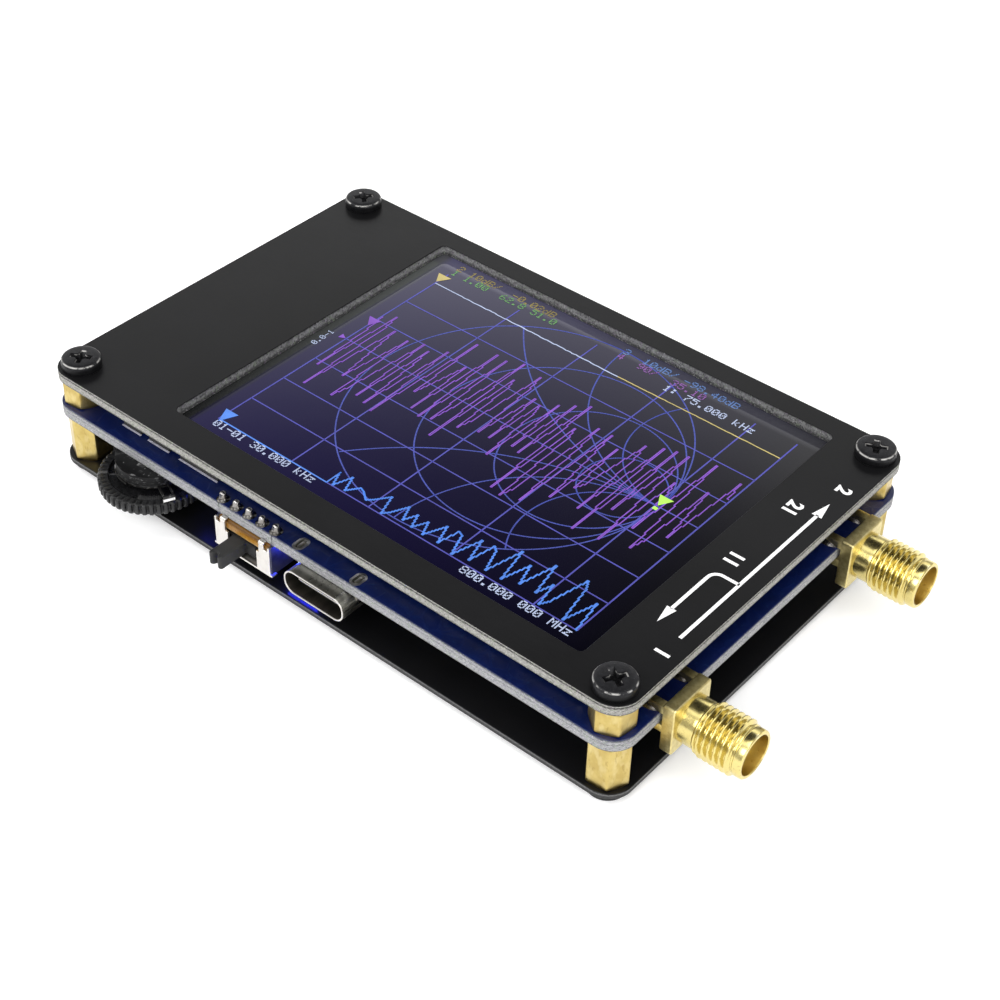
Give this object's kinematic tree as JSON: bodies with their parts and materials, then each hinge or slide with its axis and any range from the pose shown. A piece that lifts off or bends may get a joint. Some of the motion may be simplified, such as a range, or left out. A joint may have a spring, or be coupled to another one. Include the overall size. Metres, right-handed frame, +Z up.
{
  "type": "antenna analyzer",
  "caption": "Pocket antenna analyzer: boards stacked on brass standoffs, with a framed display, threaded coaxial ports, a thumb wheel, a slide switch and a USB-C socket.",
  "frame": {"origin": "centre of the bottom cover's underside", "axes": "+X along the long side towards the coaxial ports; -Y is the side with the thumb wheel, the switch and the USB-C socket; +Z up, out of the display"},
  "size_m": [0.0953, 0.0588, 0.0158],
  "materials": {
    "cover_mask": "black solder mask, pale cut edge",
    "board_mask": "blue solder mask, pale cut edge",
    "display_tray": "satin",
    "display_glass": "polished",
    "amber_film": "satin",
    "foam": "matt",
    "socket_steel": "satin",
    "nickel": "plated",
    "black_resin": "moulded",
    "wheel_resin": "moulded, polished by use",
    "laminate": "brown paper laminate",
    "cell_foil": "foil pouch",
    "red_sleeve": "wire insulation",
    "black_sleeve": "wire insulation",
    "white_resin": "moulded",
    "package_resin": "moulded",
    "black_steel": "black oxide",
    "brass": "turned",
    "gold": "gold plated",
    "blue_lamp": "lit"
  },
  "bodies": {
    "board_stack": {"base_screw_1": "black_steel", "base_screw_2": "black_steel", "base_screw_3": "black_steel", "base_screw_4": "black_steel", "battery": "cell_foil", "battery_lead_neg": "black_sleeve", "battery_lead_pos": "red_sleeve", "battery_plug": "white_resin", "battery_socket": "white_resin", "battery_tape": "foam", "bottom_cover": "cover_mask", "charger_chip": "package_resin", "clock_chip": "package_resin", "codec_chip": "package_resin", "cover_screw_1": "black_steel", "cover_screw_2": "black_steel", "cover_screw_3": "black_steel", "cover_screw_4": "black_steel", "crystal_can": "nickel", "jog_base": "black_resin", "jog_bracket": "nickel", "lcd_flex": "amber_film", "lcd_frame": "display_tray", "lcd_glass": "display_glass", "lcd_tape_1": "foam", "lcd_tape_2": "foam", "lower_standoff_1": "brass", "lower_standoff_2": "brass", "lower_standoff_3": "brass", "lower_standoff_4": "brass", "main_board": "board_mask", "mixer_chip_1": "package_resin", "mixer_chip_2": "package_resin", "mixer_chip_3": "package_resin", "port_contact_1": "gold", "port_contact_2": "gold", "port_insulator_1": "white_resin", "port_insulator_2": "white_resin", "port_shell_1": "gold", "port_shell_2": "gold", "power_coil": "package_resin", "processor_chip": "package_resin", "shield_can": "socket_steel", "status_led": "blue_lamp", "switch_base": "laminate", "switch_frame": "nickel", "switch_pin_1": "nickel", "switch_pin_2": "nickel", "switch_pin_3": "nickel", "top_cover": "cover_mask", "upper_standoff_1": "brass", "upper_standoff_2": "brass", "upper_standoff_3": "brass", "upper_standoff_4": "brass", "usb_shell": "socket_steel", "usb_tongue": "black_resin"},
    "power_knob": {"switch_knob": "black_resin"},
    "push_carrier": {"jog_carrier": "black_resin", "jog_cap": "black_resin"},
    "thumb_wheel": {"jog_wheel": "wheel_resin"}
  },
  "joints": [
    {"name": "power_slide", "type": "slide", "parent": "board_stack", "child": "power_knob", "axis": [1, 0, 0], "range_m": [0, 0.002]},
    {"name": "wheel_push", "type": "slide", "parent": "board_stack", "child": "push_carrier", "axis": [0, 1, 0], "range_m": [0, 0.0008], "stiffness_N_per_m": 600, "springref_m": -0.0005},
    {"name": "wheel_rock", "type": "hinge", "parent": "push_carrier", "child": "thumb_wheel", "pos_m": [-0.02745, -0.0251, 0.00392], "axis": [0, 0, 1], "range_deg": [-15, 15], "stiffness_Nm_per_rad": 0.012}
  ]
}
